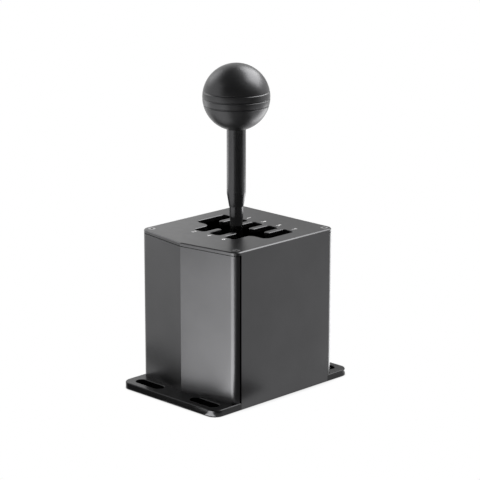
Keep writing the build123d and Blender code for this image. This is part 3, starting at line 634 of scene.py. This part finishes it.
class SHIFTER_OT_boards(bpy.types.Operator):
    """Finish the circuit boards and solder the parts on the main one"""
    bl_idname = "shifter.boards"
    bl_label = "Boards and Their Parts"

    def execute(self, context):
        settings = context.scene.shifter_boards
        mask = board_material("solder_mask", tuple(settings.mask_colour))
        dress(("select_sensor_board", "shift_sensor_board", "main_board"), mask)
        low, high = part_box("main_board")
        middle = (low + high) / 2
        self.solder_chip(settings, middle)
        self.solder_lead_sockets(middle)
        self.solder_capacitors(middle)
        return {"FINISHED"}

    def solder_chip(self, settings, middle):
        """Square controller chip: bevelled body with a key mark, and flat pins."""
        width = settings.chip_width
        height = 1.2 * MM
        lift = 0.1 * MM
        key_inset, key_depth = 0.35 * MM, 0.05 * MM
        place_x = -16 * MM
        centre = Vector((place_x, middle.y, BOARD_TOP + lift + height / 2))
        chip = block_at((width, width, height), centre, bevel=0.12 * MM)
        bpy.ops.object.mode_set(mode="EDIT")
        pick_top(chip)
        bpy.ops.mesh.inset(thickness=key_inset, depth=-key_depth)
        bpy.ops.object.mode_set(mode="OBJECT")
        plastic = moulded_material("chip_plastic", (0.02, 0.02, 0.021), 0.5)
        finish_piece(chip, "controller_chip", plastic, "root")
        pin_width, pin_length, pin_height = 0.3 * MM, 1.0 * MM, 0.16 * MM
        row_share = 0.84
        pitch = width * row_share / (settings.pin_count - 1)
        row_distance = width / 2 + 0.45 * MM
        pins = []
        for across in (False, True):
            for side in (-1, 1):
                for step in range(settings.pin_count):
                    along = (step - (settings.pin_count - 1) / 2) * pitch
                    out = side * row_distance
                    offset = (along, out) if across else (out, along)
                    size = (pin_width, pin_length) if across else (pin_length, pin_width)
                    pin = block_at(
                        (*size, pin_height),
                        (centre.x + offset[0], centre.y + offset[1],
                         BOARD_TOP + pin_height / 2),
                        bevel=0.03 * MM)
                    pins.append(pin)
        tin = turned_material("tinned_pins", (0.7, 0.7, 0.69), 0.3)
        finish_piece(joined(pins), "controller_pins", tin, "root")

    def solder_lead_sockets(self, middle):
        """Two open-topped sockets for the leads of the sensors."""
        length, width, height = 7.5 * MM, 4.6 * MM, 5 * MM
        wall, depth = 0.6 * MM, 3.8 * MM
        place_x, spacing = 13 * MM, 9.5 * MM
        first = block_at(
            (length, width, height), (place_x, middle.y, BOARD_TOP + height / 2),
            bevel=0.2 * MM)
        bpy.ops.object.mode_set(mode="EDIT")
        pick_top(first)
        bpy.ops.mesh.inset(thickness=wall)
        bpy.ops.mesh.extrude_region_move(
            TRANSFORM_OT_translate={"value": (0, 0, -depth)})
        bpy.ops.object.mode_set(mode="OBJECT")
        second = copy_of(first, (spacing, 0, 0))
        nylon = moulded_material("lead_socket_nylon", (0.72, 0.7, 0.62), 0.42)
        finish_piece(joined([first, second]), "lead_sockets", nylon, "root")

    def solder_capacitors(self, middle):
        """Two round capacitors with a waist near the foot and a sunk top."""
        radius, height = 2 * MM, 4.4 * MM
        waist_height, waist_share, waist_reach = 1.1 * MM, 0.93, 0.05 * MM
        rim, sink = 0.3 * MM, 0.12 * MM
        place_x, place_y, spacing = -27 * MM, 2 * MM, 4.6 * MM
        deselect_all()
        bpy.ops.mesh.primitive_cylinder_add(
            vertices=40, radius=radius, depth=height,
            location=(place_x, middle.y + place_y, BOARD_TOP + height / 2))
        can = bpy.context.object
        bpy.ops.object.mode_set(mode="EDIT")
        bpy.ops.mesh.select_all(action="SELECT")
        bpy.ops.mesh.bisect(
            plane_co=(place_x, middle.y, BOARD_TOP + waist_height), plane_no=(0, 0, 1))
        bpy.ops.mesh.select_all(action="DESELECT")
        waist = waist_height - height / 2
        cage = bmesh.from_edit_mesh(can.data)
        for vert in cage.verts:
            vert.select_set(abs(vert.co.z - waist) < waist_reach)
        cage.select_flush_mode()
        bmesh.update_edit_mesh(can.data)
        bpy.ops.transform.resize(value=(waist_share, waist_share, 1))
        pick_top(can)
        bpy.ops.mesh.inset(thickness=rim, depth=-sink)
        bpy.ops.object.mode_set(mode="OBJECT")
        second = copy_of(can, (0, -spacing, 0))
        metal = turned_material("capacitor_can", (0.62, 0.62, 0.63), 0.28, ring_size=0.001)
        finish_piece(joined([can, second]), "capacitors", metal, "root")


class SHIFTER_OT_port(bpy.types.Operator):
    """Plate the data socket and lay the contacts on its tongue"""
    bl_idname = "shifter.port"
    bl_label = "Data Socket"

    def execute(self, context):
        plated = turned_material("plated_shell", (0.68, 0.68, 0.69), 0.22, ring_size=0.002)
        dress(("usb_socket",), plated)
        low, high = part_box("usb_socket")
        middle = (low + high) / 2
        size = (0.27 * MM, 3.2 * MM, 0.05 * MM)
        count, pitch = 12, 0.5 * MM
        place_y = high.y - 2.9 * MM
        half_tongue = 0.37 * MM
        pads = []
        for face in (-1, 1):
            for step in range(count):
                x = (step - (count - 1) / 2) * pitch
                pads.append(block_at(
                    size, (x, place_y, middle.z + face * half_tongue), bevel=0.012 * MM))
        gold = turned_material("gilt_contacts", (0.83, 0.62, 0.28), 0.2)
        finish_piece(joined(pads), "port_contacts", gold, "root")
        return {"FINISHED"}


class SHIFTER_OT_gate_numbers(bpy.types.Operator):
    """Fill plain numerals beside the lanes of the gate"""
    bl_idname = "shifter.gate_numbers"
    bl_label = "Gate Numbers"

    def execute(self, context):
        settings = context.scene.shifter_numbers
        lane_pitch = 15.8 * MM
        far_row, near_row = 29.0 * MM, -28.6 * MM
        capital_share = 0.7
        places = (
            ("R", -2, far_row), ("1", -1, far_row), ("3", 0, far_row), ("5", 1, far_row),
            ("7", 2, far_row), ("2", -1, near_row), ("4", 0, near_row), ("6", 1, near_row))
        numerals = []
        for numeral, column, y in places:
            x = column * lane_pitch
            deselect_all()
            bpy.ops.object.text_add(location=(x, y, PLATE_TOP))
            letters = bpy.context.object
            letters.data.body = numeral
            letters.data.align_x = "CENTER"
            letters.data.align_y = "CENTER"
            letters.data.size = settings.height / capital_share
            letters.data.extrude = settings.thickness
            letters.data.resolution_u = 5
            bpy.ops.object.convert(target="MESH")
            numerals.append(bpy.context.object)
        paint = moulded_material("filling_paint", tuple(settings.colour), 0.5)
        finish_piece(joined(numerals), "gate_numbers", paint, "root")
        return {"FINISHED"}


# Lengths in metres and turns in degrees, from the front to the right

# Soft boxes: name, turn, rise, distance, width, height and the setting of the power
SOFT_BOXES = (
    ("rear_soft_box", 212, 60, 1.5, 1.2, 0.6, "rear_power"),
    ("high_soft_box", 152, 50, 1.3, 0.7, 0.6, "high_power"),
    ("left_soft_box", -66, 50, 1.3, 0.5, 0.5, "side_power"),
)
LIGHT_TARGET = Vector((0, 0, 0.13))

# Cards round the object: name, level faced, turn, rise, distance, width, height and strength
HUNG_CARDS = (
    ("high_card", 0.15, 165, 45, 1.2, 1.05, 0.75, 5.0),
    ("knob_card", 0.22, 164, 46, 0.28, 0.3, 0.2, 7.0),
    ("left_card", 0.15, -88, 32, 1.1, 0.5, 0.55, 2.8),
    ("rear_card", 0.15, 208, 13, 1.5, 0.95, 0.6, 0.45),
    ("dark_front", 0.15, 28, 24, 1.75, 2.6, 2.6, 0.1),
    ("dark_side", 0.15, 98, 24, 1.75, 2.5, 2.6, 0.1),
    ("dark_ceiling", 0.15, 0, 84, 1.6, 2.4, 2.4, 0.15),
)

# Flat cards: name, start, turn, near end, far end, half width at the near end, how many
# times as wide the far end is, and strength. Each lies at a height of its own
FLOOR_CARDS = (
    ("ridge_card", (0.024, -0.054, 0.0003), -24, 0.02, 0.5, 0.018, 7.0, 3.0),
    ("corner_card", (0.046, -0.05, 0.0005), 2, 0.03, 0.5, 0.024, 7.0, 6.2),
    ("base_card", (0.044, -0.067, 0.0007), 3, 0.0, 0.024, 0.004, 1.6, 11.0),
    ("left_floor_card", (0.0, 0.0, 0.0003), -78, 0.56, 0.95, 0.16, 1.7, 3.0),
    ("back_corner_card", (0.05, 0.055, 0.0003), 181, 0.02, 0.55, 0.012, 16.0, 4.6),
    ("right_flag", (0.05, -0.045, 0.0007), 76, 0.01, 1.1, 0.05, 9.0, 0.1),
    ("far_flag", (0.0, 0.0, 0.0009), 84, 0.5, 1.4, 0.5, 2.6, 0.05),
    ("lever_flag", (0.0, 0.0, 0.0008), 24, 0.55, 1.4, 0.2, 2.6, 0.06),
    ("front_flag", (-0.045, -0.0722, 0.0004), 0, 0.0, 0.022, 0.084, 1.0, 0.15),
)
GATE_CARDS = (
    ("paper_card", (0.0, 0.0, 0.1222), -20, 0.03, 0.29, 0.023, 9.5, 1.05),
    ("plate_shade", (0.0, 0.0, 0.1221), 5, -0.03, 0.3, 0.1, 1.9, 0.1),
)


class SHIFTER_OT_stage(bpy.types.Operator):
    """Set the camera, floor, soft boxes, cards and white surroundings"""
    bl_idname = "shifter.stage"
    bl_label = "Studio"

    def execute(self, context):
        settings = context.scene.shifter_studio
        self.set_camera(context, settings)
        self.set_world(context)
        self.lay_floor()
        self.lay_shade()
        for name, *place, power in SOFT_BOXES:
            self.hang_light(name, *place, getattr(settings, power))
        for card in HUNG_CARDS:
            self.hang_card(*card)
        for card in FLOOR_CARDS:
            self.lay_card(*card)
        for card in GATE_CARDS:
            self.clear_from_below(self.lay_card(*card))
        return {"FINISHED"}

    def direction(self, turn, rise):
        """Direction at a turn from the front to the right and a rise, in degrees."""
        turn, rise = math.radians(turn), math.radians(rise)
        return Vector((
            math.sin(turn) * math.cos(rise), -math.cos(turn) * math.cos(rise), math.sin(rise)))

    def set_camera(self, context, settings):
        """Camera at the place and angle of the photograph."""
        deselect_all()
        bpy.ops.object.camera_add(location=settings.camera_place)
        camera = bpy.context.object
        camera.name = "photo_camera"
        away = self.direction(
            math.degrees(settings.camera_turn), math.degrees(settings.camera_rise))
        camera.rotation_euler = (-away).to_track_quat("-Z", "Y").to_euler()
        camera.data.sensor_width = 36
        camera.data.lens = settings.lens
        camera.data.clip_end = 50
        context.scene.camera = camera
        context.scene.view_settings.view_transform = "Standard"

    def set_world(self, context):
        """White to the camera and in reflections, and a plain light elsewhere."""
        world = bpy.data.worlds.new("studio_white")
        context.scene.world = world
        world.use_nodes = True
        tree = world.node_tree
        sky = tree.nodes["Background"]
        sky.inputs["Color"].default_value = (1, 1, 1, 1)
        sky.inputs["Strength"].default_value = 0.7
        seen = tree.nodes.new("ShaderNodeBackground")
        seen.inputs["Color"].default_value = (1, 1, 1, 1)
        seen.inputs["Strength"].default_value = 1.0
        mix = tree.nodes.new("ShaderNodeMixShader")
        tree.links.new(self.direct_ray(tree), mix.inputs["Fac"])
        tree.links.new(sky.outputs["Background"], mix.inputs[1])
        tree.links.new(seen.outputs["Background"], mix.inputs[2])
        tree.links.new(mix.outputs["Shader"], tree.nodes["World Output"].inputs["Surface"])

    def direct_ray(self, tree):
        """1 for camera, glossy and transmission rays."""
        path = tree.nodes.new("ShaderNodeLightPath")
        first = math_node(
            tree, "MAXIMUM", path.outputs["Is Camera Ray"], path.outputs["Is Glossy Ray"],
            0, 300)
        return math_node(
            tree, "MAXIMUM", first, path.outputs["Is Transmission Ray"], 200, 300)

    def lay_floor(self):
        """Wide white floor with a painted contact shadow, where its glow darkens near the
        object.
        """
        floor_level, contact_distance, darkest = -0.0002, 0.012, 0.3
        deselect_all()
        bpy.ops.mesh.primitive_circle_add(
            vertices=96, radius=7, fill_type="NGON", location=(0, 0, floor_level))
        floor = bpy.context.object
        floor.name = "floor"
        material, tree, shader = new_material("white_floor")
        shader.inputs["Base Color"].default_value = (0.85, 0.85, 0.85, 1)
        shader.inputs["Roughness"].default_value = 0.7
        # Painted contact shadow: ambient occlusion dims the floor's glow for camera and
        # reflection rays
        shade = tree.nodes.new("ShaderNodeAmbientOcclusion")
        shade.inputs["Distance"].default_value = contact_distance
        shade.samples = 16
        ramp = tree.nodes.new("ShaderNodeMapRange")
        ramp.inputs["From Min"].default_value = 0.0
        ramp.inputs["From Max"].default_value = 0.7
        ramp.inputs["To Min"].default_value = darkest
        ramp.inputs["To Max"].default_value = 1.0
        glow = tree.nodes.new("ShaderNodeEmission")
        mix = tree.nodes.new("ShaderNodeMixShader")
        tree.links.new(shade.outputs["AO"], ramp.inputs["Value"])
        tree.links.new(ramp.outputs["Result"], glow.inputs["Strength"])
        tree.links.new(self.direct_ray(tree), mix.inputs["Fac"])
        tree.links.new(shader.outputs["BSDF"], mix.inputs[1])
        tree.links.new(glow.outputs["Emission"], mix.inputs[2])
        tree.links.new(mix.outputs["Shader"], tree.nodes["Material Output"].inputs["Surface"])
        floor.data.materials.append(material)

    def lay_shade(self):
        """Painted shadow: a dark sheet under the base plate, which shows in the slots."""
        desk_level, inset = -0.0001, 2 * MM
        low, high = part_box("base_plate")
        shade = self.new_sheet(
            "desk_shade", ((low.x + high.x) / 2, (low.y + high.y) / 2, desk_level))
        shade.scale = (high.x - low.x - 2 * inset, high.y - low.y - 2 * inset, 1)
        self.cover(shade, "shaded_desk", 0.02)

    def new_sheet(self, name, place):
        """Flat sheet of one metre at a place."""
        deselect_all()
        bpy.ops.mesh.primitive_grid_add(
            x_subdivisions=2, y_subdivisions=2, size=1, location=place)
        sheet = bpy.context.object
        sheet.name = name
        return sheet

    def cover(self, sheet, name, tone):
        """Matt grey cloth of a tone on a sheet. Gives its shader."""
        material, _, cloth = new_material(name)
        cloth.inputs["Base Color"].default_value = (tone, tone, tone, 1)
        cloth.inputs["Roughness"].default_value = 1.0
        cloth.inputs["Specular IOR Level"].default_value = 0.0
        sheet.data.materials.append(material)
        return cloth

    def reflection_only(self, card, strength):
        """Let only reflections see a card, which glows at a strength."""
        card.visible_camera = False
        card.visible_diffuse = False
        card.visible_shadow = False
        card.visible_transmission = False
        cloth = self.cover(card, card.name, 0.002)
        cloth.inputs["Emission Color"].default_value = (1, 1, 1, 1)
        cloth.inputs["Emission Strength"].default_value = strength

    def lay_card(self, name, start, turn, near, far, half_width, widening, strength):
        """Flat card that runs away from a start and grows wider."""
        away = self.direction(turn, 0)
        card = self.new_sheet(name, Vector(start) + away * (near + far) / 2)
        for corner in card.data.vertices:
            reach = 0.5 + corner.co.x
            corner.co.y *= 1 + (widening - 1) * reach
        card.rotation_euler = (0, 0, math.atan2(away.y, away.x))
        card.scale = (far - near, 2 * half_width, 1)
        self.reflection_only(card, strength)
        return card

    def clear_from_below(self, card):
        """Let reflections pass up through a card that lies over the object."""
        tree = card.active_material.node_tree
        side = tree.nodes.new("ShaderNodeNewGeometry")
        clear = tree.nodes.new("ShaderNodeBsdfTransparent")
        mix = tree.nodes.new("ShaderNodeMixShader")
        tree.links.new(side.outputs["Backfacing"], mix.inputs["Fac"])
        tree.links.new(tree.nodes["Principled BSDF"].outputs["BSDF"], mix.inputs[1])
        tree.links.new(clear.outputs["BSDF"], mix.inputs[2])
        tree.links.new(mix.outputs["Shader"], tree.nodes["Material Output"].inputs["Surface"])

    def hang_card(self, name, level, turn, rise, distance, width, height, strength):
        """Card that faces a level on the lever's axis from a turn and a rise."""
        away = self.direction(turn, rise)
        card = self.new_sheet(name, Vector((0, 0, level)) + away * distance)
        card.rotation_euler = away.to_track_quat("Z", "Y").to_euler()
        card.scale = (width, height, 1)
        self.reflection_only(card, strength)

    def hang_light(self, name, turn, rise, distance, width, height, power):
        """Rectangular soft box that only lights, and isn't seen in reflections."""
        deselect_all()
        away = self.direction(turn, rise)
        bpy.ops.object.light_add(type="AREA", location=LIGHT_TARGET + away * distance)
        lamp = bpy.context.object
        lamp.name = name
        lamp.rotation_euler = (-away).to_track_quat("-Z", "Y").to_euler()
        lamp.data.shape = "RECTANGLE"
        lamp.data.size = width
        lamp.data.size_y = height
        lamp.data.energy = power
        lamp.visible_camera = False
        lamp.visible_glossy = False


class SHIFTER_PT_panel(bpy.types.Panel):
    """Steps that build the shifter's looks"""
    bl_idname = "SHIFTER_PT_panel"
    bl_label = "Gear Shifter"
    bl_space_type = "VIEW_3D"
    bl_region_type = "UI"
    bl_category = "Shifter"

    def draw(self, context):
        for operator in OPERATORS:
            self.layout.operator(operator.bl_idname)
        for name in SETTINGS:
            box = self.layout.box()
            settings = getattr(context.scene, name)
            box.label(text=settings.bl_rna.name)
            for label in settings.bl_rna.properties.keys():
                if label not in ("rna_type", "name"):
                    box.prop(settings, label)


SETTINGS = {
    "shifter_casing": CasingFinish,
    "shifter_lever": LeverFinish,
    "shifter_numbers": GateNumbers,
    "shifter_springs": SpringWinding,
    "shifter_boards": BoardParts,
    "shifter_studio": StudioLight,
}
OPERATORS = (
    SHIFTER_OT_casing,
    SHIFTER_OT_lever,
    SHIFTER_OT_fasteners,
    SHIFTER_OT_works,
    SHIFTER_OT_boards,
    SHIFTER_OT_port,
    SHIFTER_OT_gate_numbers,
    SHIFTER_OT_stage,
)


def register():
    for name, settings in SETTINGS.items():
        bpy.utils.register_class(settings)
        setattr(bpy.types.Scene, name, bpy.props.PointerProperty(type=settings))
    for operator in OPERATORS:
        bpy.utils.register_class(operator)
    bpy.utils.register_class(SHIFTER_PT_panel)


def unregister():
    bpy.utils.unregister_class(SHIFTER_PT_panel)
    for operator in reversed(OPERATORS):
        bpy.utils.unregister_class(operator)
    for name, settings in SETTINGS.items():
        delattr(bpy.types.Scene, name)
        bpy.utils.unregister_class(settings)


def main():
    """Run every step in order."""
    register()
    for step in (
        bpy.ops.shifter.casing, bpy.ops.shifter.lever, bpy.ops.shifter.fasteners,
        bpy.ops.shifter.works, bpy.ops.shifter.boards, bpy.ops.shifter.port,
        bpy.ops.shifter.gate_numbers, bpy.ops.shifter.stage,
    ):
        step()


if __name__ == "__main__":
    main()
